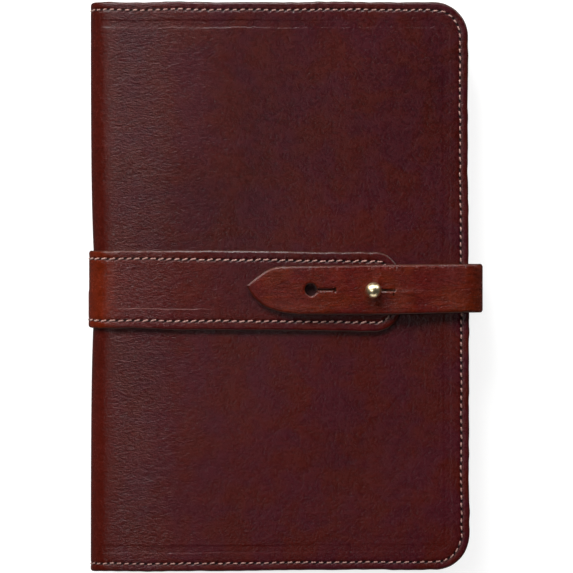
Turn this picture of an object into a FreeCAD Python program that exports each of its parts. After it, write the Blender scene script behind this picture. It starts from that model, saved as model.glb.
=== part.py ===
# A leather notebook cover, closed: a folded leather jacket round a hardback notebook, with a wide
# leather band sewn round it and a narrow strap that buttons on a brass ball stud.
#
# Frame: the book lies on its back. +X points from the spine to the fore-edge, +Y to the head and
# +Z out of the front cover. The origin is the middle of the overall width and height, on the plane
# that the book rests on. All sizes are in millimetres.
#
# Bodies: the back of the cover holds the notebook, the band's back and the strap's sewn end. The
# spine folds on the back, and the front cover folds on the spine. The strap bends twice round the
# fore-edge: where it leaves the back, and where it turns onto the front.
import FreeCAD
import Part
import math
import os
from FreeCAD import Vector

# ---- Driving dimensions ----
COVER_WIDTH = 148.0  # spine's outside to fore-edge
COVER_HEIGHT = 224.0
COVER_CORNER = 13.3  # radius of the fore-edge corners
LEATHER = 2.0  # outer leather
LINING = 0.8
POCKET = 1.0
POCKET_WIDTH = 62.0  # from the fore-edge inwards

NOTEBOOK_WIDTH = 130.0
NOTEBOOK_HEIGHT = 210.0
NOTEBOOK_CORNER = 6.0
BOARD = 1.6
PAGES = 9.4  # thickness of the leaves between the two pockets
PAGE_INSET = 1.5  # from the boards' edges to the leaves
GLUED_EDGE = 2.5  # from the spine's fold line to the leaves

BAND = 1.8  # thickness of the band and of the strap
BAND_WIDTH = 30.5
BAND_END = 121.5  # spine's outside to the band's end
BAND_CORNER = 10.0
CLOSURE_Y = -1.3  # the middle line of band and strap

STRAP_WIDTH = 19.0
STRAP_BEND = 6.0  # outside radius of the strap's two bends
STRAP_REACH = 5.9  # how far the strap stands out past the fore-edge
STRAP_LIFT = 0.1  # clearance under the strap
STRAP_TIP = 61.1  # spine's outside to the strap's tip
TIP_OFFSET = 1.9  # the hand-cut tip lies this far above the strap's middle line
TAIL_UNDER_BAND = 25.0  # length of the pared end that is sewn under the band
ANCHOR_LENGTH = 15.0  # the stitched rectangle that holds the pared end
ANCHOR_HEIGHT = 12.0

STUD_X = 110.8  # spine's outside to the stud
HOLE_PITCH = 24.4  # between the strap's two keyholes
HOLE_RADIUS = 2.3
SLIT_LENGTH = 9.6  # keyhole's centre to its slit's end
SLIT_WIDTH = 0.4
BALL_RADIUS = 3.2
NECK_RADIUS = 1.6

SEAM_INSET = 3.1  # cut edge to stitch line
GROOVE_WIDTH = 1.0
GROOVE_DEPTH = 0.4
THREAD_WIDTH = 0.7
THREAD_THICKNESS = 0.3
CLEAR = 0.3  # between faces that move past each other or are slipped in

# ---- Derived places ----
OVERALL = BAND + COVER_WIDTH + STRAP_REACH
LEFT = BAND - OVERALL / 2  # outside of the leather spine
FORE_EDGE = LEFT + COVER_WIDTH
WRAP = LEATHER + LINING + BOARD + POCKET
SPINE_R = WRAP + PAGES / 2  # outside radius of the half-round leather spine
SPINE_X = LEFT + SPINE_R
SPINE_Z = BAND + SPINE_R
STRAP_TOP = 2 * SPINE_R + 3 * BAND + STRAP_LIFT
BEND_X = FORE_EDGE + STRAP_REACH - STRAP_BEND
FAR = 400.0
COS45 = math.cos(math.radians(45))

# Fold lines run along Y on the leather's outside, halfway round each quarter of the bend.
BACK_FOLD = Vector(SPINE_X - SPINE_R * COS45, 0, SPINE_Z - SPINE_R * COS45)
FRONT_FOLD = Vector(SPINE_X - SPINE_R * COS45, 0, SPINE_Z + SPINE_R * COS45)
STRAP_ROOT = Vector(BEND_X + STRAP_BEND * COS45, 0, STRAP_BEND * (1 - COS45))
STRAP_TURN = Vector(BEND_X + STRAP_BEND * COS45, 0, STRAP_TOP - STRAP_BEND * (1 - COS45))


# ---- Solids ----
def prism_along_y(points):
    """A prism with the corners (x, z), running right through the part along Y."""
    corners = [Vector(x, -FAR / 2, z) for x, z in points]
    return Part.Face(Part.makePolygon(corners + corners[:1])).extrude(Vector(0, FAR, 0))


def box(x0, x1, y0, y1, z0, z1):
    """A box between two corners."""
    return Part.makeBox(x1 - x0, y1 - y0, z1 - z0, Vector(x0, y0, z0))


def outline(right, half_height, corner, middle=0.0, left=-FAR):
    """An upright block whose two right-hand corners are rounded, for cutting sheets to shape."""
    block = box(left, right, middle - half_height, middle + half_height, -FAR / 2, FAR / 2)
    upright = [e for e in block.Edges if e.Vertexes[0].X > right - 1 and e.Vertexes[1].X > right - 1]
    return block.makeFillet(corner, [e for e in upright if e.Length > FAR / 2])


def cover_outline(inset=0.0):
    return outline(FORE_EDGE - inset, COVER_HEIGHT / 2 - inset, COVER_CORNER - inset)


def band_outline(inset=0.0):
    return outline(LEFT + BAND_END - inset, BAND_WIDTH / 2 - inset, BAND_CORNER - inset, CLOSURE_Y)


def half_round_bar(radius):
    """A bar along Y: half round at the spine, flat on top and below, running out to the right."""
    low = Vector(SPINE_X, -FAR / 2, SPINE_Z - radius)
    high = Vector(SPINE_X, -FAR / 2, SPINE_Z + radius)
    round_side = Part.Arc(low, Vector(SPINE_X - radius, -FAR / 2, SPINE_Z), high).toShape()
    right = Vector(FAR, 0, 0)
    flat = Part.makePolygon([high, high + right, low + right, low])
    return Part.Face(Part.Wire([round_side] + flat.Edges)).extrude(Vector(0, FAR, 0))


def wrapped(r_in, r_out):
    """The space between two radii of the folded cover, over back, spine and front."""
    return half_round_bar(r_out).cut(half_round_bar(r_in))


def seam(r_out, cut_to, depth_from, depth_to, width):
    """A strip under the surface at r_out that follows the outline cut_to, SEAM_INSET from it."""
    strip = cut_to(SEAM_INSET - width / 2).cut(cut_to(SEAM_INSET + width / 2))
    return wrapped(r_out - depth_to, r_out - depth_from).common(strip)


def groove(r_out, cut_to):
    return seam(r_out, cut_to, -1.0, GROOVE_DEPTH, GROOVE_WIDTH)


def thread(r_out, cut_to):
    """The thread lies on the groove's floor, just below the surface."""
    return seam(r_out, cut_to, GROOVE_DEPTH - THREAD_THICKNESS, GROOVE_DEPTH, THREAD_WIDTH)


def body_regions():
    """The space of each body of the cover: past a fold line the band's edge is mitred for the fold."""
    centre = (SPINE_X, SPINE_Z)
    low, high = (BACK_FOLD.x, BACK_FOLD.z), (FRONT_FOLD.x, FRONT_FOLD.z)
    return {
        "back": prism_along_y([centre, low, (low[0], -FAR), (FAR, -FAR), (FAR, SPINE_Z)]),
        "spine": prism_along_y([centre, high, (-FAR, high[1]), (-FAR, low[1]), low]),
        "front": prism_along_y([centre, (FAR, SPINE_Z), (FAR, FAR), (high[0], FAR), high]),
    }


def slot_along(start, end, width):
    """A thin block along Y through two points of the XZ plane, for a gap at a fold."""
    along = (end - start).normalize()
    side = Vector(along.z, 0, -along.x) * (width / 2)
    corners = [start - side, start + side, end + side, end - side]
    return prism_along_y([(c.x, c.z) for c in corners])


def fold_gaps():
    """Gaps between the bodies of the cover, along the radial planes and the band's mitres."""
    centre = Vector(SPINE_X, 0, SPINE_Z)
    gaps = []
    for fold, side in ((BACK_FOLD, -1), (FRONT_FOLD, 1)):
        gaps.append(slot_along(centre, fold, CLEAR))
        gaps.append(slot_along(fold, fold + Vector(0, 0, side * STRAP_BEND), CLEAR))
        gaps.append(slot_along(fold, fold + Vector(-STRAP_BEND, 0, 0), CLEAR))
    return gaps


def split_cover(solid, name, gaps, regions):
    """The back, spine and front parts of a sheet that goes round the whole cover."""
    solid = solid.cut(gaps)
    return {name.format(body): solid.common(region) for body, region in regions.items()}


# ---- The folded cover ----
def cover_sheets(regions, gaps):
    """Outer leather, lining, band and threads, each in its back, spine and front part."""
    band_r = SPINE_R + BAND
    leather = wrapped(SPINE_R - LEATHER, SPINE_R).common(cover_outline())
    leather = leather.cut(groove(SPINE_R, cover_outline)).cut(stud_seat())
    lining = wrapped(SPINE_R - LEATHER - LINING, SPINE_R - LEATHER).common(cover_outline())
    band = wrapped(SPINE_R, band_r).common(band_outline())
    anchor_groove = anchor_strip(-1.0, GROOVE_DEPTH, GROOVE_WIDTH)
    band = band.cut([groove(band_r, band_outline), anchor_groove, stud_seat(), tail_relief()])
    sheets = {
        "{}_leather": leather,
        "{}_lining": lining,
        "{}_band": band,
        "{}_seam_thread": thread(SPINE_R, cover_outline),
        "{}_band_thread": thread(band_r, band_outline),
    }
    made = {}
    for name, sheet in sheets.items():
        made.update(split_cover(sheet, name, gaps, regions))
    return made


def pocket(z_sheet, z_rim):
    """An inner flap at the fore-edge, with a rim that meets the lining round the board's edge."""
    left = FORE_EDGE - POCKET_WIDTH
    half = NOTEBOOK_HEIGHT / 2 + CLEAR
    sheet = box(left, FORE_EDGE, -FAR / 2, FAR / 2, *z_sheet)
    rim = box(left, FORE_EDGE, -FAR / 2, FAR / 2, *z_rim)
    rim = rim.cut(box(-FAR, SPINE_X + NOTEBOOK_WIDTH + 2 * CLEAR, -half, half, *z_rim))
    return sheet.fuse(rim).common(cover_outline()).removeSplitter()


def pockets():
    low = BAND + LEATHER + LINING
    high = BAND + 2 * SPINE_R - LEATHER - LINING
    return {
        "back_pocket": pocket((low + BOARD, low + BOARD + POCKET), (low, low + BOARD)),
        "front_pocket": pocket((high - BOARD - POCKET, high - BOARD), (high - BOARD, high)),
    }


# ---- The notebook ----
def notebook():
    """Two boards, the spine strip between them, and the block of leaves glued to the back."""
    low = BAND + LEATHER + LINING
    high = BAND + 2 * SPINE_R - LEATHER - LINING
    half = NOTEBOOK_HEIGHT / 2
    left = SPINE_X + GLUED_EDGE
    right = SPINE_X + CLEAR + NOTEBOOK_WIDTH
    boards = outline(right, half, NOTEBOOK_CORNER, left=left)
    leaf_top = half - PAGE_INSET
    leaves = outline(right - PAGE_INSET, leaf_top, NOTEBOOK_CORNER, left=left)
    pocket_left = FORE_EDGE - POCKET_WIDTH - CLEAR
    under_pockets = box(left, FAR / 2, -half, half, low + BOARD + POCKET, high - BOARD - POCKET)
    past_pockets = box(left, pocket_left, -half, half, low + BOARD, high - BOARD)
    strip_left = SPINE_X + CLEAR
    return {
        "notebook_back_board": boards.common(box(left, FAR / 2, -half, half, low, low + BOARD)),
        "notebook_front_board": boards.common(box(left, FAR / 2, -half, half, high - BOARD, high)),
        "notebook_spine": box(strip_left, strip_left + BOARD, -half, half, low + CLEAR, high - CLEAR),
        "page_block": leaves.common(under_pockets.fuse(past_pockets)).removeSplitter(),
    }


# ---- The strap ----
def strap_middle(x_from_spine):
    return Vector(LEFT + x_from_spine, CLOSURE_Y, 0)


def strap_shape():
    """The strap's outline from above: straight edges and a hand-cut pointed tip at its left end."""
    tip = strap_middle(STRAP_TIP) + Vector(0, TIP_OFFSET, 0)
    above = STRAP_WIDTH / 2 - TIP_OFFSET
    below = STRAP_WIDTH / 2 + TIP_OFFSET
    top_start = tip + Vector(1.54 * above, above, 0)
    low_start = tip + Vector(1.81 * below, -below, 0)
    top_mid = tip + Vector(0.57 * above, 0.46 * above, 0)
    low_mid = tip + Vector(0.61 * below, -0.73 * below, 0)
    right = FORE_EDGE + 2 * STRAP_BEND
    top_end = Vector(right, top_start.y, 0)
    low_end = Vector(right, low_start.y, 0)
    edges = [
        Part.Arc(low_start, low_mid, tip).toShape(),
        Part.Arc(tip, top_mid, top_start).toShape(),
        Part.makeLine(top_start, top_end),
        Part.makeLine(top_end, low_end),
        Part.makeLine(low_end, low_start),
    ]
    return Part.Face(Part.Wire(edges)).extrude(Vector(0, 0, FAR))


def keyholes():
    """Two round holes, each with a slit towards the fore-edge, right through the strap's front."""
    cuts = []
    for x in (STUD_X, STUD_X - HOLE_PITCH):
        at = strap_middle(x)
        cuts.append(Part.makeCylinder(HOLE_RADIUS, FAR, at))
        cuts.append(box(at.x, at.x + SLIT_LENGTH, at.y - SLIT_WIDTH / 2, at.y + SLIT_WIDTH / 2, 0, FAR))
    above_cover = box(-FAR, FAR, -FAR, FAR, SPINE_Z, 2 * FAR)
    return [cut.common(above_cover) for cut in cuts]


def strap_wrap():
    """The strap as a sheet round the fore-edge: under the back, up, and over the front."""

    low, high = CLOSURE_Y - STRAP_WIDTH / 2, CLOSURE_Y + STRAP_WIDTH / 2

    def bar(inset):
        block = box(-FAR, BEND_X + STRAP_BEND - inset, low, high, inset, STRAP_TOP - inset)
        right = [e for e in block.Edges if min(v.X for v in e.Vertexes) > BEND_X]
        return block.makeFillet(STRAP_BEND - inset, [e for e in right if abs(e.Length - STRAP_WIDTH) < 1e-6])

    return bar(0.0).cut(bar(BAND))


def strap_parts():
    """The sewn tail, the loop round the fore-edge and the tongue that buttons on the front."""
    low_centre = Vector(BEND_X, 0, STRAP_BEND)
    high_centre = Vector(BEND_X, 0, STRAP_TOP - STRAP_BEND)
    low_far = low_centre + (STRAP_ROOT - low_centre) * 20
    high_far = high_centre + (STRAP_TURN - high_centre) * 20
    gaps = [slot_along(low_centre, low_far, CLEAR), slot_along(high_centre, high_far, CLEAR)]
    sheet = strap_wrap().cut(gaps)
    low, low_out = (low_centre.x, low_centre.z), (low_far.x, low_far.z)
    high, high_out = (high_centre.x, high_centre.z), (high_far.x, high_far.z)
    tail_side = prism_along_y([low, low_out, (-FAR, low_out[1]), (-FAR, low[1])])
    tongue_side = prism_along_y([high, (-FAR, high[1]), (-FAR, high_out[1]), high_out])
    loop_side = prism_along_y([low, high, high_out, low_out])
    band_end = LEFT + BAND_END
    tail = sheet.common(tail_side)
    tail = tail.cut(box(-FAR, band_end + CLEAR, -FAR, FAR, -FAR, BAND / 2))
    tail = tail.cut(box(-FAR, band_end - TAIL_UNDER_BAND, -FAR, FAR, -FAR, FAR))
    tongue = sheet.common(tongue_side).common(strap_shape()).cut(keyholes())
    return {"strap_tail": tail, "strap_loop": sheet.common(loop_side), "strap_tongue": tongue}


def tail_relief():
    """The hollow on the band's inner face that takes the strap's pared end."""
    half = STRAP_WIDTH / 2 + CLEAR
    left = LEFT + BAND_END - TAIL_UNDER_BAND - CLEAR
    return box(left, FAR, CLOSURE_Y - half, CLOSURE_Y + half, BAND / 2, BAND)


def anchor_strip(z0, z1, width):
    """A rectangular stitch line on the band's back, through the strap's pared end."""
    middle = LEFT + BAND_END - TAIL_UNDER_BAND / 2 - 2.0

    def block(grow):
        x, y = (ANCHOR_LENGTH + grow) / 2, (ANCHOR_HEIGHT + grow) / 2
        return box(middle - x, middle + x, CLOSURE_Y - y, CLOSURE_Y + y, z0, z1)

    return block(width).cut(block(-width))


# ---- The stud ----
FLANGE_RADIUS = 4.5
FLANGE = 1.0
BOSS_RADIUS = 2.2
SCREW_RADIUS = 1.25
SCREW_HEAD_RADIUS = 4.0
SCREW_HEAD = 0.7
COVER_TOP = BAND + 2 * SPINE_R
BAND_TOP = COVER_TOP + BAND
SCREW_Z = COVER_TOP - LEATHER  # the screw's head lies in the leather's underside, on the lining


def stud_seat():
    """The holes for the stud: its flange in the band, its boss through the band and the leather."""
    at = strap_middle(STUD_X)
    flange = Part.makeCylinder(FLANGE_RADIUS + 0.05, FLANGE + 1, at + Vector(0, 0, BAND_TOP - FLANGE))
    boss = Part.makeCylinder(BOSS_RADIUS + 0.05, FAR / 20, at + Vector(0, 0, SPINE_Z))
    head = Part.makeCylinder(SCREW_HEAD_RADIUS + 0.05, SCREW_HEAD + 0.05, at + Vector(0, 0, SCREW_Z))
    return flange.fuse(boss).fuse(head)


def stud():
    """A ball on a neck, a flange let into the band, and a threaded boss for the screw below."""
    at = strap_middle(STUD_X)
    boss_z = SCREW_Z + SCREW_HEAD + 0.05
    neck_z = BAND_TOP - FLANGE / 2
    ball_z = STRAP_TOP + 0.9 * BALL_RADIUS
    boss = Part.makeCylinder(BOSS_RADIUS, BAND_TOP - FLANGE - boss_z, at + Vector(0, 0, boss_z))
    flange = Part.makeCylinder(FLANGE_RADIUS, FLANGE, at + Vector(0, 0, BAND_TOP - FLANGE))
    neck = Part.makeCylinder(NECK_RADIUS, ball_z - neck_z, at + Vector(0, 0, neck_z))
    ball = Part.makeSphere(BALL_RADIUS, at + Vector(0, 0, ball_z))
    bore = Part.makeCylinder(SCREW_RADIUS + 0.05, 2.6, at + Vector(0, 0, boss_z))
    return boss.fuse([flange, neck, ball]).cut(bore).removeSplitter()


def stud_screw():
    """A flat slotted screw, whose head is let into the leather's underside."""
    at = strap_middle(STUD_X) + Vector(0, 0, SCREW_Z)
    head = Part.makeCylinder(SCREW_HEAD_RADIUS, SCREW_HEAD, at)
    shank = Part.makeCylinder(SCREW_RADIUS, SCREW_HEAD + 2.4, at)
    slot = box(at.x - 5, at.x + 5, at.y - 0.4, at.y + 0.4, at.z - 1, at.z + 0.35)
    return head.fuse(shank).cut(slot).removeSplitter()


def build():
    regions = body_regions()
    gaps = fold_gaps()
    made = cover_sheets(regions, gaps)
    made.update(pockets())
    made.update(notebook())
    made.update(strap_parts())
    made["strap_anchor_thread"] = anchor_strip(GROOVE_DEPTH - THREAD_THICKNESS, GROOVE_DEPTH, THREAD_WIDTH)
    made["ball_stud"] = stud()
    made["stud_screw"] = stud_screw()
    return made


def fold_points():
    """The joints' places, printed in metres for the record."""
    for name, at in (
        ("spine_fold", BACK_FOLD),
        ("front_fold", FRONT_FOLD),
        ("strap_root_bend", STRAP_ROOT),
        ("strap_front_bend", STRAP_TURN),
    ):
        print(name, [round(c / 1000, 6) for c in (at.x, at.y, at.z)])


os.makedirs("parts", exist_ok=True)
for node, shape in build().items():
    solids = shape.Solids
    kept = solids[0] if len(solids) == 1 else Part.makeCompound(solids)
    if not solids or not kept.isValid():
        raise RuntimeError(node + " is not a valid solid")
    kept.exportStep(os.path.join("parts", node + ".step"))
    print(node, len(solids), "solid(s),", round(kept.Volume, 1), "mm3")
fold_points()
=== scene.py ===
# The looks of a leather notebook cover: oxblood leather round a hardback notebook, with a sewn-on
# band and a strap that buttons on a brass ball.
#
# Lengths here are in millimetres and become metres when a mesh is made. Each sheet of leather is
# drawn flat, as an outline with rims and stitch holes, and then laid round the folded cover or
# round the strap's bends. A sheet's flat coordinates are kept on its mesh for the materials.
import math
import bpy
import numpy as np
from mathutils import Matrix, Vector
from mathutils.geometry import delaunay_2d_cdt


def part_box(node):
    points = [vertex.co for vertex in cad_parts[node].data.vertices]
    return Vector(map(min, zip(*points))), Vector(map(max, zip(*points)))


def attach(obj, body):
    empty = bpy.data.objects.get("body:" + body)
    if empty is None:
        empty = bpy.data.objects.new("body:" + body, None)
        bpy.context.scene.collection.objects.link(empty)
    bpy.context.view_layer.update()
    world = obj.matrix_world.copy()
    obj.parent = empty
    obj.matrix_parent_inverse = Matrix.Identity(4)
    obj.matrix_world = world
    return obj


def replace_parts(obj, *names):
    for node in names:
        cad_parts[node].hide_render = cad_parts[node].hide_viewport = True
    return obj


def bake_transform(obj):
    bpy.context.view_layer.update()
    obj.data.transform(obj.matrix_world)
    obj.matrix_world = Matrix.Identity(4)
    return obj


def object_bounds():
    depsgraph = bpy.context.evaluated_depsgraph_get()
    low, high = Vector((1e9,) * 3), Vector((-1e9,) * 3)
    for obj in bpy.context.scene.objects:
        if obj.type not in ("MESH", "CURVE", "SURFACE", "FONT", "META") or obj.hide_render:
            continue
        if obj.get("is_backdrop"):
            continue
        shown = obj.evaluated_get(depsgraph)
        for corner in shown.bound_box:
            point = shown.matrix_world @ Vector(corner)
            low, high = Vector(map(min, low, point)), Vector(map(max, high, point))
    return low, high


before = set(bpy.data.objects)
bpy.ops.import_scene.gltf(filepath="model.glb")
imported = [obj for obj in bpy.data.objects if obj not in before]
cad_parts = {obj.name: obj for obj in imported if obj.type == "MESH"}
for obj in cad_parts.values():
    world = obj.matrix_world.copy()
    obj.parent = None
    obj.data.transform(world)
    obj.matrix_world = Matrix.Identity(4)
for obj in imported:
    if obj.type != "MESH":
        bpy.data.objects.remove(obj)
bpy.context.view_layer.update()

MM = 0.001


def corners(node):
    """A CAD node's lowest and highest corner, in millimetres."""
    low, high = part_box(node)
    return low / MM, high / MM


# ---- Places taken from the CAD model ----
LEFT = corners("spine_leather")[0].x
BAND = corners("back_leather")[0].z
COVER_TOP = corners("front_leather")[1].z
FORE_EDGE = corners("front_leather")[1].x
HALF_HEIGHT = corners("front_leather")[1].y
LEATHER = COVER_TOP - corners("front_lining")[1].z
LINING = corners("front_lining")[1].z - corners("notebook_front_board")[1].z
BOARD = corners("notebook_front_board")[1].z - corners("notebook_front_board")[0].z
SPINE_R = (COVER_TOP - BAND) / 2
SPINE_X = LEFT + SPINE_R
SPINE_Z = BAND + SPINE_R
ARC = math.pi / 2 * SPINE_R  # from the spine's middle line to the flat of the cover, along the leather
REACH = FORE_EDGE - SPINE_X + ARC  # from the spine's middle line to the fore-edge
COVER_CORNER = 13.3
BAND_END = corners("front_band")[1].x - SPINE_X + ARC
BAND_HALF = (corners("front_band")[1].y - corners("front_band")[0].y) / 2
CLOSURE_Y = (corners("front_band")[1].y + corners("front_band")[0].y) / 2
BAND_CORNER = 10.0
STRAP_TOP = corners("strap_tongue")[1].z
STRAP_OUT = corners("strap_loop")[1].x
STRAP_HALF = (corners("strap_loop")[1].y - corners("strap_loop")[0].y) / 2
STRAP_BEND = 6.0
BEND_X = STRAP_OUT - STRAP_BEND
STUD = (corners("ball_stud")[0] + corners("ball_stud")[1]) / 2
STUD_TOP = corners("ball_stud")[1].z

HOLE_PITCH = 24.4  # between the strap's two buttonholes
PITCH = 3.175  # the band's stitches, eight to the inch
COVER_PITCH = 3.03  # the cover's own stitches are a little closer
PER_STITCH = 6  # outline points for each stitch
BLOCK = 1500  # points that are compared with an outline at a time
SEAM_INSET = 3.1
BAND_INSET = 3.2  # the band's seam
ANCHOR_INSET = 0.35
NO_SEAM = -9.0  # so far outside a sheet that its groove doesn't show
UNLIMITED = 99.0


# ---- Small helpers ----
def smooth(x):
    """A smooth step from 0 to 1."""
    x = np.clip(x, 0.0, 1.0)
    return x * x * (3 - 2 * x)


def bump(x):
    """A bell curve of unit height."""
    return np.exp(-x * x)


def waves(u, v, length, seed, count=9):
    """A smooth uneven surface, about one unit high, made of a few waves in random directions."""
    rng = np.random.default_rng(seed)
    total = np.zeros(np.broadcast(u, v).shape)
    for _ in range(count):
        way = rng.uniform(0, math.tau)
        size = length * rng.uniform(0.7, 1.6)
        start = rng.uniform(0, math.tau)
        total += np.sin(math.tau * (u * math.cos(way) + v * math.sin(way)) / size + start)
    return total / math.sqrt(count / 2)


# ---- The folded cover ----
def common_relief(s, y, side):
    """How the whole cover departs from its nominal shape: drawn in at the spine by the band, sunk a
    little beside the spine, and not quite flat."""
    turn = np.minimum(s, ARC) / SPINE_R
    away = np.maximum(np.abs(y - CLOSURE_Y) - BAND_HALF, 0)
    pull = np.where(y > CLOSURE_Y, 1.15, 0.95) * np.exp(-away / 22.0)
    pinch = 0.55 * np.cos(turn) ** 2 - pull * (1 - smooth(s / (0.95 * ARC)))
    beside = -0.85 * np.sin(turn) ** 3 * np.exp(-np.maximum(s - ARC, 0) / 16.0)
    uneven = (0.11 if side > 0 else 0.04) * waves(side * s, y, 62.0, 4) * smooth(s / ARC)
    return pinch + beside + uneven


def hand_cut(s, y, side):
    """The cover isn't quite square: its fore-edge leans and its tail rises towards the fore-edge."""
    out = s / REACH
    ragged = 0.1 * waves(s, y, 26.0, 7) + 0.05 * waves(s, y, 6.0, 9)
    along = s + out * (0.45 - 0.0035 * y) + ragged * smooth(s / 10)
    across = y + 1.1 * out * np.clip(-y / HALF_HEIGHT, 0, 1)
    across = across + 0.1 * waves(side * s, y, 30.0, 8) + 0.05 * waves(side * s, y, 6.0, 10)
    return along, across


def fold(s, y, r, side):
    """Lays flat points round the spine. s is measured from the spine's middle line and r from the
    notebook's middle plane. side is 1 for the front and -1 for the back."""
    s, y = hand_cut(s, y, side)
    r = r + common_relief(s, y, side)
    turn = np.minimum(s, ARC) / SPINE_R
    x = SPINE_X - r * np.cos(turn) + np.maximum(s - ARC, 0)
    return np.stack([x, y, SPINE_Z + side * r * np.sin(turn)], 1)


# ---- Outlines ----
def edge_line(points, normals, t, closed, pitch=PITCH):
    """A sheet's edge: its points, their normals out of the sheet, the distances along it, the pitch of
    its stitches, and the room that its rim has, which is unlimited here."""
    room = np.full(len(t), UNLIMITED)
    return {"points": points, "normals": normals, "t": t, "closed": closed, "pitch": pitch, "room": room}


def open_outline(right, half, corner, inset=SEAM_INSET, middle=0.0, pitch=PITCH):
    """The edge of a sheet that starts at the spine's middle line: along the head, round the two
    corners of the fore-edge and back along the tail. Its points keep step with the stitches."""
    r = corner - inset
    bend = math.pi / 2 * r
    legs = np.array([right - corner, bend, 2 * (half - corner), bend, right - corner])
    stops = np.concatenate([[0], np.cumsum(legs)])
    count = int(round(stops[-1] / pitch))
    t = np.linspace(0, stops[-1], count * PER_STITCH + 1)
    head, turn_1, side, turn_2, tail = (np.clip(t - a, 0, leg) for a, leg in zip(stops, legs))
    turn_1, turn_2 = turn_1 / r, turn_2 / r
    s = head + r * np.sin(turn_1) - r * (1 - np.cos(turn_2)) - tail
    y = middle + half - inset - r * (1 - np.cos(turn_1)) - side - r * np.sin(turn_2)
    way = math.pi / 2 - turn_1 - turn_2
    normals = np.stack([np.cos(way), np.sin(way)], 1)
    points = np.stack([s, y], 1) + inset * normals
    return edge_line(points, normals, t, False, pitch)


def outline_of(points, closed, step=0.5):
    """An outline through the given corners, with the sheet on the right-hand side of the way round."""
    points = np.array(points, float)
    ring = np.vstack([points, points[:1]]) if closed else points
    lengths = np.concatenate([[0], np.cumsum(np.linalg.norm(np.diff(ring, axis=0), axis=1))])
    count = max(8, int(round(lengths[-1] / step)))
    t = np.linspace(0, lengths[-1], count + 1)
    even = np.stack([np.interp(t, lengths, ring[:, k]) for k in (0, 1)], 1)
    if closed:
        even, t = even[:-1], t[:-1]
        ahead = np.roll(even, -1, 0) - np.roll(even, 1, 0)
    else:
        ahead = np.gradient(even, axis=0)
    ahead /= np.maximum(np.linalg.norm(ahead, axis=1, keepdims=True), 1e-9)
    normals = np.stack([-ahead[:, 1], ahead[:, 0]], 1)
    return edge_line(even, normals, t, closed)


def curve_through(points, steps=12):
    """A Catmull-Rom curve through a few points."""
    p = np.array(points, float)
    p = np.vstack([2 * p[0] - p[1], p, 2 * p[-1] - p[-2]])
    made = []
    for a, b, c, d in zip(p[:-3], p[1:-2], p[2:-1], p[3:]):
        for k in range(steps):
            f = k / steps
            square = (2 * a - 5 * b + 4 * c - d) * f**2
            cube = (3 * b - a - 3 * c + d) * f**3
            made.append(0.5 * (2 * b + (c - a) * f + square + cube))
    return np.array(made + [p[-2]])


def inside(points, polygon):
    """Which points lie inside a closed polygon."""
    result = np.zeros(len(points), bool)
    ax, ay = polygon[:, 0], polygon[:, 1]
    bx, by = np.roll(ax, -1), np.roll(ay, -1)
    slope = (bx - ax) / np.where(np.abs(by - ay) < 1e-12, 1e-12, by - ay)
    for i in range(0, len(points), BLOCK):
        px = points[i : i + BLOCK, :1]
        py = points[i : i + BLOCK, 1:]
        crosses = ((ay > py) != (by > py)) & (px < ax + slope * (py - ay))
        result[i : i + BLOCK] = crosses.sum(1) % 2 == 1
    return result


def within(points, rims):
    """Which points lie inside the first rim and in none of the holes that the others go round."""
    keep = inside(points, rims[0])
    for loop in rims[1:]:
        keep &= ~inside(points, loop)
    return keep


# ---- Meshes ----
def finish_mesh(name, xyz, faces, data, material):
    """Makes an object of points in millimetres, smooth, with its flat coordinates as attributes."""
    mesh = bpy.data.meshes.new(name)
    mesh.from_pydata((np.asarray(xyz) * MM).tolist(), [], faces)
    for key, values in data.items():
        vector = np.ndim(values) == 2
        attribute = mesh.attributes.new(key, "FLOAT_VECTOR" if vector else "FLOAT", "POINT")
        numbers = np.ravel(values).astype(np.float32)
        attribute.data.foreach_set("vector" if vector else "value", numbers)
    mesh.polygons.foreach_set("use_smooth", np.ones(len(mesh.polygons), bool))
    mesh.materials.append(material)
    mesh.validate()
    mesh.update()
    piece = bpy.data.objects.new(name, mesh)
    bpy.context.scene.collection.objects.link(piece)
    return piece


def rim(thickness, inner=(), roundness=1.0):
    """(inset, depth) pairs from the face, round the rim and on to the other face."""
    quarter = [(0.95, 0.0), (0.80, 0.03), (0.28, 0.28), (0.12, 0.44), (0.03, 0.64)]
    over = [(a * roundness, d * roundness) for a, d in quarter]
    under = [(a, thickness - d) for a, d in reversed(over)]
    back = [(a, thickness) for a, _ in reversed(inner)]
    return list(inner) + over + [(0.0, thickness / 2)] + under + back


def between(a, b, n, closed=True):
    """The faces between two rings of n points, numbered from a and from b."""
    return [(a + i, a + (i + 1) % n, b + (i + 1) % n, b + i) for i in range(n if closed else n - 1)]


def ring_depth(d, thickness, scale):
    """A ring's depth, nearer to its own face where the rim is narrowed. The middle ring stays."""
    if d < thickness / 2:
        return d * scale
    if d > thickness / 2:
        return d + (thickness - d) * (1 - scale)
    return np.full(len(scale), d)


def closing_points(line, spacing):
    """Points on the straight line that closes an open outline, without its two ends."""
    start, end = line[-1], line[0]
    count = max(2, int(np.linalg.norm(end - start) / spacing))
    return np.array([start + (end - start) * k / count for k in range(1, count)])


def grid_within(rims, spacing):
    """An even grid of points within the rims, and clear of them."""
    low, high = rims[0].min(0), rims[0].max(0)
    xs = np.arange(low[0] + spacing[0] / 2, high[0], spacing[0])
    ys = np.arange(low[1] + spacing[1] / 2, high[1], spacing[1])
    grid = np.stack(np.meshgrid(xs, ys), -1).reshape(-1, 2)
    keep = within(grid, rims)
    for loop in rims:
        for i in range(0, len(grid), BLOCK):
            part = grid[i : i + BLOCK]
            near = np.min(np.linalg.norm(part[:, None] - loop[None, ::2], axis=2), 1)
            keep[i : i + BLOCK] &= near > 0.55 * min(spacing)
    return grid[keep]


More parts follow.
